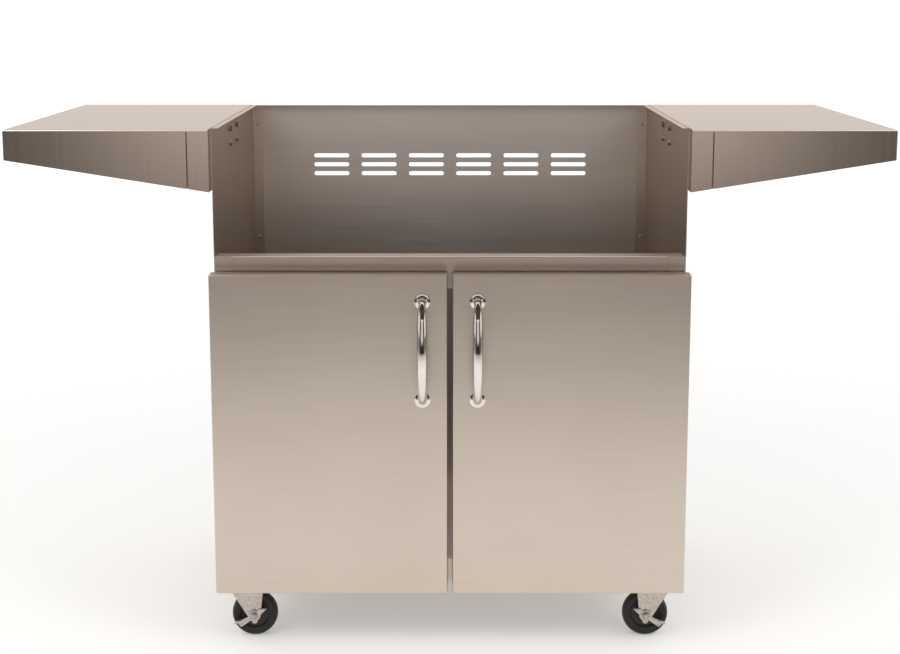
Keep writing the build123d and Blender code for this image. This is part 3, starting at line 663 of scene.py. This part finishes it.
@dataclass
class Cabinet:
    """Folded sheet cabinet with its base rails, back panel, cylinder seat and gas line grommet."""

    sheet: float = 1.2
    panel_screw: ButtonScrew = ButtonScrew(4.0, 2.0, 1.4, 2.0, 6.0, 0.8)
    panel_screw_rows: int = 4
    hose_radius: float = 14.0
    grommet_wall: float = 4.0
    ring_screw: ButtonScrew = ButtonScrew(4.0, 2.2, 1.4)
    ring_screw_inset: float = 6.5
    ring_screw_angles: tuple[float, ...] = (90.0, 210.0, 330.0)
    clamp_rod: float = 4.0
    clamp_thread: float = 1.5
    knob_radius: float = 10.9
    knob_length: float = 10.0
    knob_points: int = 80
    knob_lobes: int = 5
    knob_lobe_depth: float = 0.12
    knob_rim: float = 2.4
    knob_dish: float = 0.9
    knob_rounding: float = 0.8

    def build(self, dresser: Dresser) -> None:
        """Dress the sheet metal and add the small parts."""
        dresser.dress(PANEL_STEEL, "left_side_panel", "right_side_panel", "front_base_rail", "front_top_rail")
        dresser.dress(MILL_STEEL, "back_panel", "floor_panel", "left_base_rail", "right_base_rail",
                      "rear_base_rail", "tank_ring")
        self.add_panel_screws(dresser)
        self.add_grommet(dresser)
        self.add_ring_screws(dresser)
        self.add_clamp(dresser)

    def add_panel_screws(self, dresser: Dresser) -> None:
        """Add the screws down both edges of the back panel."""
        low, high = span("panel_screws")
        head = self.panel_screw.head_radius
        first, last = low.z + head, high.z - head
        pitch = (last - first) / (self.panel_screw_rows - 1)
        seat = high.y - self.panel_screw.head_height
        screws = [self.panel_screw.shape((side * (high.x - head), seat, first + row * pitch), (0, 1, 0))
                  for side in SIDES.values() for row in range(self.panel_screw_rows)]
        dresser.add("back_panel_screws", joined(screws), FASTENER_STEEL, Slot.FASTENER,
                    replaces=["panel_screws"])

    def add_grommet(self, dresser: Dresser) -> None:
        """Add the soft-lipped grommet in the back panel's gas line hole."""
        low, high = span("gas_line_grommet")
        centre = (low + high) / 2
        bore, lip, skin = self.hose_radius, (high.x - low.x) / 2, self.sheet / 2
        curl = ((high.y - low.y) / 2 - skin) / 2
        half = [(bore + self.grommet_wall, skin),
                *arc((lip - curl, skin + curl), (curl, curl), -90.0, 90.0),
                *arc((bore + curl, skin + curl), (curl, curl), 90.0, 180.0)]
        bm = turned(mirrored(half), tuple(centre), (0, 1, 0))
        dresser.add("gas_line_grommet_lips", bm, GROMMET_RUBBER, Slot.GROMMET, replaces=["gas_line_grommet"])

    def add_ring_screws(self, dresser: Dresser) -> None:
        """Add the three screws that hold the cylinder seat ring to the floor panel."""
        low, high = span("tank_ring")
        centre = (low + high) / 2
        circle = (high.x - low.x) / 2 - self.ring_screw_inset
        screws = []
        for degrees in self.ring_screw_angles:
            angle = math.radians(degrees)
            seat = (centre.x + circle * math.cos(angle), centre.y + circle * math.sin(angle),
                    low.z + self.sheet)
            screws.append(self.ring_screw.shape(seat, (0, 0, 1)))
        dresser.add("tank_ring_screws", joined(screws), FASTENER_STEEL, Slot.FASTENER, "cabinet")

    def add_clamp(self, dresser: Dresser) -> None:
        """Add the clamp's threaded rod and its lobed hand knob."""
        low, high = span("tank_clamp_screw")
        knob_face = Vector((middle("tank_ring").x, low.y + self.knob_length, (low.z + high.z) / 2))
        rod = threaded_rod(self.clamp_rod, 0.0, high.y - knob_face.y, self.clamp_thread)
        set_upright(rod, tuple(knob_face), (0, 1, 0))
        dresser.add("tank_clamp_rod", rod, FASTENER_STEEL, Slot.CLAMP, replaces=["tank_clamp_screw"])
        knob = bmesh.new()
        made = bmesh.ops.create_circle(knob, cap_ends=True, segments=self.knob_points,
                                       radius=self.knob_radius)
        for vert in made["verts"]:
            wave = math.cos(self.knob_lobes * math.atan2(vert.co.y, vert.co.x))
            vert.co *= 1.0 + self.knob_lobe_depth * (wave - 1.0)
        raised(knob, made["verts"][0].link_faces[0], self.knob_length)
        front = max(knob.faces, key=lambda face: face.calc_center_median().z)
        bmesh.ops.inset_region(knob, faces=[front], thickness=self.knob_rim, depth=-self.knob_dish)
        soften(knob, self.knob_rounding, segments=3)
        set_upright(knob, tuple(knob_face), (0, -1, 0))
        dresser.add("tank_clamp_knob", knob, KNOB_PLASTIC, Slot.CLAMP, "tank_clamp")


class Shelves:
    """Work shelves on both sides with their brackets, stiffeners and bolts."""

    def build(self, dresser: Dresser) -> None:
        """Dress both shelves and what carries them."""
        for side in SIDES:
            dresser.dress(SHELF_STEEL, side + "_shelf", side + "_shelf_bracket")
            dresser.dress(MILL_STEEL, side + "_shelf_stiffener")
        dresser.dress(FASTENER_STEEL, "shelf_bolts")


@dataclass
class Hinges:
    """Butt hinges between the cabinet and the doors, with the screws in their leaves."""

    leaf: float = 1.5
    leaf_height: float = 51.0
    pin_head: float = 3.2
    pin_head_height: float = 1.2
    screw_spots: Profile = ((11.0, 16.0), (20.0, 0.0), (11.0, -16.0))
    screw: ButtonScrew = ButtonScrew(3.4, 1.1, 1.2)

    def build(self, dresser: Dresser) -> None:
        """Dress the leaves and pins and add the screws of each leaf."""
        dresser.dress(FASTENER_STEEL, "hinge_frame_leaves", "hinge_pins", "left_hinge_door_leaves",
                      "right_hinge_door_leaves")
        for side in SIDES:
            face = span(side + "_hinge_door_leaves")[0].y + self.leaf
            dresser.add(side + "_hinge_door_screws", self.leaf_screws([side], face, 1.0), FASTENER_STEEL,
                        Slot.FASTENER, side + "_door")
        face = span("hinge_frame_leaves")[1].y - self.leaf
        dresser.add("hinge_frame_screws", self.leaf_screws(list(SIDES), face, -1.0), FASTENER_STEEL,
                    Slot.FASTENER, "cabinet")

    def leaf_screws(self, sides: Sequence[str], face: float, outward: float) -> Shape:
        """Build the screws of the leaves on one face.

        Args:
            sides: Sides of the cart that the leaves are on.
            face: Y of the leaves' open face.
            outward: Direction along Y in which the heads point.

        Returns:
            A new bmesh with the screws.
        """
        low, high = span("hinge_pins")
        axis_x = high.x - self.pin_head
        half = self.leaf_height / 2 + self.pin_head_height
        spots = [(SIDES[side] * (axis_x - inward), face, level + rise)
                 for side in sides for level in (low.z + half, high.z - half)
                 for inward, rise in self.screw_spots]
        return joined([self.screw.shape(spot, (0, outward, 0)) for spot in spots])


@dataclass
class Door:
    """One cabinet door with its liner, strike plate and polished bow handle."""

    side: str
    post: float = 10.0
    neck: float = 4.9
    grip: float = 9.0
    rosette_rim: float = 1.6
    rosette_lip: float = 5.8
    rosette_gap: float = 0.05
    stations: int = 56
    flats: int = 40

    def build(self, dresser: Dresser) -> None:
        """Dress the door's sheets and add its handle."""
        dresser.dress(PANEL_STEEL, self.side + "_door_skin")
        # The liner carries painted shade that darkens the gap between the doors
        dresser.dress(LINER_STEEL_PAINTED_SHADE, self.side + "_door_liner")
        dresser.dress(FASTENER_STEEL, self.side + "_strike_plate", self.side + "_handle_screws")
        dresser.add(self.side + "_bow_handle", self.bow(), MIRROR_STEEL, Slot.POLISHED,
                    replaces=[self.side + "_handle"])
        dresser.add(self.side + "_bell_rosettes", self.rosettes(), MIRROR_STEEL, Slot.POLISHED,
                    replaces=[self.side + "_handle_rosettes"])

    @property
    def front(self) -> float:
        """Y of the door's front face."""
        return span(self.side + "_door_skin")[0].y

    @property
    def rosette_radius(self) -> float:
        """Radius of the handle's rosettes."""
        low, high = span(self.side + "_handle_rosettes")
        return (high.x - low.x) / 2

    @property
    def feet(self) -> list[Point]:
        """Middles of the handle's two feet on the door, the lower one first."""
        low, high = span(self.side + "_handle_rosettes")
        return [((low.x + high.x) / 2, self.front, level)
                for level in (low.z + self.rosette_radius, high.z - self.rosette_radius)]

    def bow(self) -> Shape:
        """Build the bow and its posts from rings that swell towards its middle."""
        low, high = (Vector(foot) for foot in self.feet)
        posts = low.y - self.post
        depth = posts - span(self.side + "_handle")[0].y - self.grip
        half, rise = (high.z - low.z) / 2, (high.z + low.z) / 2
        rings: list[tuple[Vector, Vector, float]] = [(low, Vector((0, -1, 0)), self.neck)]
        for step in range(self.stations + 1):
            angle = math.pi * (step / self.stations - 0.5)
            centre = Vector((low.x, posts - depth * math.cos(angle), rise + half * math.sin(angle)))
            along = Vector((0, depth * math.sin(angle), half * math.cos(angle)))
            rings.append((centre, along, self.neck + (self.grip - self.neck) * math.cos(angle)))
        rings.append((high, Vector((0, 1, 0)), self.neck))
        bm = bmesh.new()
        last: list[bmesh.types.BMEdge] = []
        for centre, along, radius in rings:
            made = bmesh.ops.create_circle(bm, cap_ends=False, segments=self.flats, radius=radius)
            ahead = along.normalized()
            sideways = Vector((1, 0, 0))
            frame = Matrix((sideways, ahead.cross(sideways), ahead)).transposed().to_4x4()
            bmesh.ops.transform(bm, matrix=Matrix.Translation(centre) @ frame, verts=made["verts"])
            loop = list({edge for vert in made["verts"] for edge in vert.link_edges})
            if last:
                bmesh.ops.bridge_loops(bm, edges=last + loop)
            last = loop
        bmesh.ops.holes_fill(bm, edges=[e for e in bm.edges if e.is_boundary])
        bmesh.ops.recalc_face_normals(bm, faces=bm.faces)
        return bm

    def rosettes(self) -> Shape:
        """Build the bell-shaped rosettes round the handle's feet."""
        bore, edge = self.neck + self.rosette_gap, self.rosette_rim / 2
        height = self.front - span(self.side + "_handle_rosettes")[0].y
        rim = self.rosette_radius - edge
        bell = [(bore, 0.0), *arc((rim, edge), (edge, edge), -90.0, 90.0),
                *arc((rim, height), (rim - self.rosette_lip, height - self.rosette_rim), 270.0, 180.0),
                (bore, height)]
        return joined([turned(bell, foot, (0, -1, 0)) for foot in self.feet])


@dataclass
class Catches:
    """Magnetic catches on the rail over the doors: a plastic housing with two steel pole plates each."""

    width: float = 40.0
    housing_rounding: float = 1.0
    pole: float = 1.6
    pole_rounding: float = 0.3
    pole_rise: float = 2.6
    pole_proud: float = 0.9
    screw: ButtonScrew = ButtonScrew(2.6, 0.5, 0.9)
    screw_reach: float = 15.0
    recess: float = 0.6

    def build(self, dresser: Dresser) -> None:
        """Add the housings, their pole plates and their screws."""
        low, high = span("door_catches")
        level, depth = (low.z + high.z) / 2, high.y - low.y
        face = low.y + self.recess
        housings, poles, screws = [], [], []
        for side in SIDES.values():
            x = side * (high.x - self.width / 2)
            size = (self.width, high.y - face, high.z - low.z)
            housings.append(block(size, (x, (high.y + face) / 2, level), self.housing_rounding))
            for rise in (-self.pole_rise, self.pole_rise):
                poles.append(block((self.width / 2, depth - 2 * self.pole_proud, self.pole),
                                   (x, low.y + depth / 2 - self.pole_proud, level + rise),
                                   self.pole_rounding))
            for along in (-self.screw_reach, self.screw_reach):
                screws.append(self.screw.shape((x + along, face, level), (0, -1, 0)))
        dresser.add("catch_housings", joined(housings), CATCH_PLASTIC, Slot.CATCH, replaces=["door_catches"])
        dresser.add("catch_pole_plates", joined(poles), ZINC_STEEL, Slot.ZINC, "cabinet")
        dresser.add("catch_screws", joined(screws), FASTENER_STEEL, Slot.FASTENER, "cabinet")


@dataclass
class Caster:
    """One swivel caster: fork, axle bolt, moulded hub, rubber tyre and, at the front, a brake lever."""

    corner: str
    rim: float = 27.0
    rim_half: float = 9.6
    wall_foot: float = 31.0
    shoulder: float = 35.2
    groove_floor: float = 0.4
    groove_mouth: float = 0.8
    groove_depth: float = 0.5
    tread_end: float = 3.0
    tread_steps: int = 12
    tyre_flats: int = 96
    boss: float = 10.0
    boss_half: float = 13.7
    boss_edge: Span = (0.6, 0.8)
    bore: float = 4.05
    web: Profile = ((10.5, 6.4), (12.4, 5.2), (16.4, 5.2), (16.9, 6.2), (18.6, 6.2), (19.1, 5.2), (23.4, 5.4),
                    (24.8, 6.6), (25.4, 9.2), (25.9, 9.9), (26.7, 9.9))
    hub_flats: int = 72
    axle_radius: float = 4.0
    axle_flats: int = 32
    nut_radius: float = 7.0
    nut_height: float = 5.0
    nut_share: float = 0.62
    collar: Profile = ((0.0, 2.9), (5.7, 2.9), (5.7, 3.5), (5.2, 4.2), (4.4, 4.4), (3.9, 4.1), (3.4, 4.1),
                       (3.1, 4.9), (0.0, 5.0))
    fork_half: float = 16.5
    lever_sheet: float = 2.0
    lever_rounding: float = 0.35
    # From the pedal round to the nose: outward, upward and how far each corner's rounding reaches
    lever_corners: tuple[Point, ...] = (
        (9.5, -1.7, 3.0), (31.3, -12.2, 2.5), (23.4, -21.6, 3.0), (5.0, -8.4, 2.5), (2.6, -14.6, 2.0),
        (-4.2, -14.6, 2.5), (-8.8, -1.2, 2.5), (-22.6, 12.8, 1.5), (-9.2, 12.8, 2.0), (-5.2, 8.2, 2.0),
        (0.4, 11.2, 4.0), (8.6, 6.4, 4.0))
    pad_slope: float = math.radians(28.0)
    pad_size: Point = (13.0, 12.0, 2.0)
    pad_place: Span = (29.0, 5.2)
    pad_rounding: float = 0.6
    gap: float = 0.3

    @property
    def braked(self) -> bool:
        """Whether this caster carries a brake lever."""
        return self.corner.startswith("front")

    @property
    def hub_centre(self) -> Vector:
        """Middle of the wheel."""
        return middle(self.corner + "_tyre")

    def build(self, dresser: Dresser) -> None:
        """Dress the fork and add the wheel, the axle and the lever."""
        dresser.dress(ZINC_STEEL, self.corner + "_fork")
        rows = [("_rubber_tyre", self.tyre(), TYRE_RUBBER, Slot.TYRE, "_tyre"),
                ("_moulded_hub", self.hub(), HUB_PLASTIC, Slot.HUB, "_hub"),
                ("_axle_bolt", self.axle(), FASTENER_STEEL, Slot.ZINC, "_axle")]
        if self.braked:
            rows.append(("_pressed_lever", self.lever(), ZINC_STEEL, Slot.ZINC, "_brake_lever"))
        for name, shape, finish, slot, node in rows:
            dresser.add(self.corner + name, shape, finish, slot, replaces=[self.corner + node])

    def tyre(self) -> Shape:
        """Build the tyre with its rounded tread and a ring groove in each wall."""
        low, high = span(self.corner + "_tyre")
        radius, half_width = (high.z - low.z) / 2, (high.y - low.y) / 2
        groove = (self.wall_foot + self.shoulder) / 2
        sunk = half_width - self.groove_depth
        half = [(self.rim, self.rim_half), (self.wall_foot, half_width),
                (groove - self.groove_mouth, half_width), (groove - self.groove_floor, sunk),
                (groove + self.groove_floor, sunk), (groove + self.groove_mouth, half_width),
                *arc((self.shoulder, 0.0), (radius - self.shoulder, half_width), 90.0, self.tread_end,
                     self.tread_steps)]
        return turned(mirrored(half), tuple(self.hub_centre), (0, 1, 0), self.tyre_flats)

    def hub(self) -> Shape:
        """Build the hub: boss, dished web with a raised ring, and the rim in the tyre."""
        inset, drop = self.boss_edge
        half = [(self.bore, self.boss_half), (self.boss - inset, self.boss_half),
                (self.boss, self.boss_half - drop), *self.web, (self.rim, self.rim_half)]
        return turned(mirrored(half), tuple(self.hub_centre), (0, 1, 0), self.hub_flats)

    def axle(self) -> Shape:
        """Build the axle bolt with its head at the back and a collared nut in front."""
        x, y, z = self.hub_centre
        seat = self.fork_half + (2 * self.gap + self.lever_sheet if self.braked else 0.0)
        rod = turned([(0.0, -self.fork_half), (self.axle_radius, -self.fork_half), (self.axle_radius, seat),
                      (0.0, seat)], (x, y, z), (0, -1, 0), self.axle_flats)
        head = hexagon(self.nut_radius, self.nut_height, (x, y + self.fork_half, z), (0, 1, 0))
        nut = hexagon(self.nut_radius, self.nut_share * self.nut_height, (x, y - seat, z), (0, -1, 0))
        collar = turned(self.collar, (x, y - seat, z), (0, -1, 0), self.axle_flats)
        return joined([rod, head, nut, collar])

    def lever(self) -> Shape:
        """Build the pressed brake lever: pedal outward and down, nose inward and up, lobe below."""
        x, y, z = self.hub_centre
        outer = -1.0 if self.corner.endswith("left") else 1.0
        outline = [(outer * along, up) for along, up in rounded(self.lever_corners)]
        arm = plate(outline, self.lever_sheet, self.lever_rounding)
        face = Vector((x, y - self.fork_half - self.gap, z))
        arm.transform(Matrix.Translation(face))
        slope = Matrix.Rotation(outer * self.pad_slope, 4, "Y")
        along, up = self.pad_place
        place = slope @ Vector((outer * along, 0.0, up)) - Vector((0.0, self.pad_size[1] / 2, 0.0))
        pad = block(self.pad_size, (0, 0, 0), self.pad_rounding)
        pad.transform(Matrix.Translation(face + place) @ slope)
        return joined([arm, pad])


class CasterMounts:
    """Top plates, kingpins and bolts that hold the casters under the base."""

    def build(self, dresser: Dresser) -> None:
        """Dress the mounts."""
        dresser.dress(ZINC_STEEL, "caster_top_plates", "caster_kingpins")
        dresser.dress(FASTENER_STEEL, "caster_bolts")


@dataclass
class Studio:
    """Pale floor, white surround, soft lamps, dark flags that only reflections show, and the camera."""

    camera_place: Point = (0.0, -2.72, 1.12)
    camera_pitch: float = 0.160
    sensor_width: float = 36.0
    lens: float = 60.5
    shift_y: float = -0.10
    far_clip: float = 200.0
    lamps: tuple[tuple[str, Point, float], ...] = (
        ("key_softbox", (-1.9, -2.2, 2.6), 22.0), ("fill_softbox", (2.1, -1.9, 2.5), 16.0))
    lamp_size: float = 1.4
    lamp_aim: Point = (0.0, 0.0, 0.45)
    ambient: float = 0.75
    white: str = "#FFFFFF"
    floor_size: float = 400.0
    floor_colour: str = "#F6F5F3"
    floor_rough: float = 0.9
    floor_lift: float = 0.24
    floor_far: float = 0.6
    far_edge: float = 10.2
    pool_radius: float = 1.2
    pool_edge: float = 3.4
    pool_fall: float = 0.3
    flag_radius: float = 2.9
    flag_height: Span = (0.005, 1.7)
    flag_reach: float = math.radians(50.0)
    flag_steps: int = 32
    flag_colour: str = "#E4DBD6"
    flag_level: Span = (0.03, 1.02)
    flag_outer: float = 0.1
    flag_rise: Span = (0.3, 0.65)
    flag_fade: Span = (0.78, 1.4)
    hood_size: Span = (0.84, 0.38)
    hood_place: Point = (0.0, -0.465, 0.78)
    hood_colour: str = "#4A3B33"

    def build(self) -> None:
        """Set up the stage, the light and the camera."""
        bpy.context.scene.view_settings.view_transform = "Standard"
        self.surround()
        self.floor()
        self.flag()
        self.hood()
        for name, place, power in self.lamps:
            self.lamp(name, place, power)
        self.camera()

    def surround(self) -> None:
        """Give the world a white that the camera and reflections see, and a softer white as light."""
        world = bpy.data.worlds.new("studio_surround")
        bpy.context.scene.world = world
        nodes = Nodes(world)
        path = nodes.add("LightPath")
        seen = nodes.math("MAXIMUM", path["Is Camera Ray"], path["Is Glossy Ray"])
        seen = nodes.math("MAXIMUM", seen, path["Is Transmission Ray"])
        level = nodes.ramp(seen, target=(self.ambient, 1.0))
        light = nodes.add("Background", {"Color": linear(self.white), "Strength": level})[0]
        nodes.add("OutputWorld", {"Surface": light})

    def floor(self) -> None:
        """Lay the pale floor: white outside the cart's shadow, a pool of light in reflections."""
        bm = bmesh.new()
        bmesh.ops.create_grid(bm, x_segments=1, y_segments=1, size=self.floor_size / 2)
        material = bpy.data.materials.new("pale_studio_floor")
        nodes = Nodes(material)
        path = nodes.add("LightPath")
        camera, glossy = path["Is Camera Ray"], path["Is Glossy Ray"]
        reach = nodes.add("VectorMath", {0: nodes.add("TexCoord")["Object"]}, operation="LENGTH")["Value"]
        pool = nodes.ramp(reach, (self.pool_radius, self.pool_edge), (1.0, self.pool_fall), "SMOOTHSTEP")
        dimmed = nodes.blend(glossy, 1.0, pool)
        far = nodes.ramp(reach, (self.pool_radius, self.far_edge), (self.floor_lift, self.floor_far))
        lift = nodes.blend(camera, self.floor_lift, far)
        shown = nodes.math("MULTIPLY", lift, nodes.math("MAXIMUM", camera, glossy))
        nodes.surface(nodes.add("BsdfPrincipled", {
            "Roughness": self.floor_rough, "Specular IOR Level": 0.0, "Emission Color": linear(self.white),
            "Base Color": nodes.tint(dimmed, "#000000", self.floor_colour),
            "Emission Strength": nodes.math("MULTIPLY", shown, dimmed)})[0])
        self.stand("studio_floor", bm, material)

    def flag(self) -> None:
        """Stand a curved dark flag round the front, seen only in reflections, lighter in its middle."""
        bm = bmesh.new()
        bm.edges.new([bm.verts.new((0.0, -self.flag_radius, height)) for height in self.flag_height])
        bmesh.ops.rotate(bm, verts=bm.verts, matrix=Matrix.Rotation(-self.flag_reach, 3, "Z"))
        bmesh.ops.spin(bm, geom=bm.verts[:] + bm.edges[:], axis=(0, 0, 1), angle=2 * self.flag_reach,
                       steps=self.flag_steps)
        material = bpy.data.materials.new("studio_flag")
        nodes = Nodes(material)
        axes = nodes.add("SeparateXYZ", {0: nodes.add("TexCoord")["Object"]})
        inner = nodes.ramp(axes["Z"], self.flag_rise, self.flag_level, "SMOOTHSTEP")
        level = nodes.ramp(nodes.math("ABSOLUTE", axes["X"]), self.flag_fade, (inner, self.flag_outer),
                           "SMOOTHSTEP")
        nodes.surface(nodes.add("Emission", {"Color": linear(self.flag_colour), "Strength": level})[0])
        self.reflected("studio_flag", bm, material)

    def hood(self) -> None:
        """Hang a small dark flag in front of the doors, which the handles' upper ends reflect from below."""
        bm = bmesh.new()
        bmesh.ops.create_grid(bm, x_segments=1, y_segments=1, size=0.5)
        bmesh.ops.scale(bm, vec=(*self.hood_size, 1.0), verts=bm.verts)
        bmesh.ops.translate(bm, vec=self.hood_place, verts=bm.verts)
        material = bpy.data.materials.new("studio_hood")
        nodes = Nodes(material)
        glow = nodes.add("Emission", {"Color": linear(self.hood_colour)})[0]
        clear = nodes.add("BsdfTransparent")[0]
        below = nodes.add("NewGeometry")["Backfacing"]
        nodes.surface(nodes.add("MixShader", {0: below, 1: clear, 2: glow})[0])
        self.reflected("studio_hood", bm, material)

    def reflected(self, name: str, bm: Shape, material: bpy.types.Material) -> None:
        """Add one stage object that only reflections show."""
        card = self.stand(name, bm, material)
        for ray in ("camera", "diffuse", "transmission", "volume_scatter", "shadow"):
            setattr(card, "visible_" + ray, False)

    def stand(self, name: str, bm: Shape, material: bpy.types.Material) -> bpy.types.Object:
        """Add one stage object.

        Args:
            name: Name of the object.
            bm: Its shape in metres, freed here.
            material: Its material.

        Returns:
            The new object.
        """
        item = meshed(name, bm, material)
        return item

    def lamp(self, name: str, place: Point, power: float) -> None:
        """Hang one soft lamp that faces the cart.

        Args:
            name: Name of the lamp.
            place: Where it hangs.
            power: Its power in watts.
        """
        light = bpy.data.lights.new(name, "AREA")
        light.shape = "RECTANGLE"
        light.size = light.size_y = self.lamp_size
        light.energy = power
        item = placed(name, light)
        item.location = place
        aim = Vector(self.lamp_aim) - Vector(place)
        item.rotation_euler = aim.to_track_quat("-Z", "Y").to_euler()
        item.visible_camera = False

    def camera(self) -> None:
        """Place the camera in front of the doors, a little above the shelves."""
        data = bpy.data.cameras.new("camera")
        data.sensor_width = self.sensor_width
        data.lens = self.lens
        data.shift_y = self.shift_y
        data.clip_end = self.far_clip
        item = placed("camera", data)
        item.location = self.camera_place
        item.rotation_euler = (math.pi / 2 - self.camera_pitch, 0.0, 0.0)
        bpy.context.scene.camera = item


def main() -> None:
    """Load the frame, dress the cart piece by piece and set up the studio."""
    logging.basicConfig(level=logging.INFO, format="%(name)s %(message)s")
    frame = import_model()
    dresser = Dresser(frame)
    Cabinet().build(dresser)
    Shelves().build(dresser)
    Hinges().build(dresser)
    for side in SIDES:
        Door(side).build(dresser)
    Catches().build(dresser)
    CasterMounts().build(dresser)
    for corner in ("front_left", "front_right", "rear_left", "rear_right"):
        Caster(corner).build(dresser)
    Studio().build()


if __name__ == "__main__":
    main()
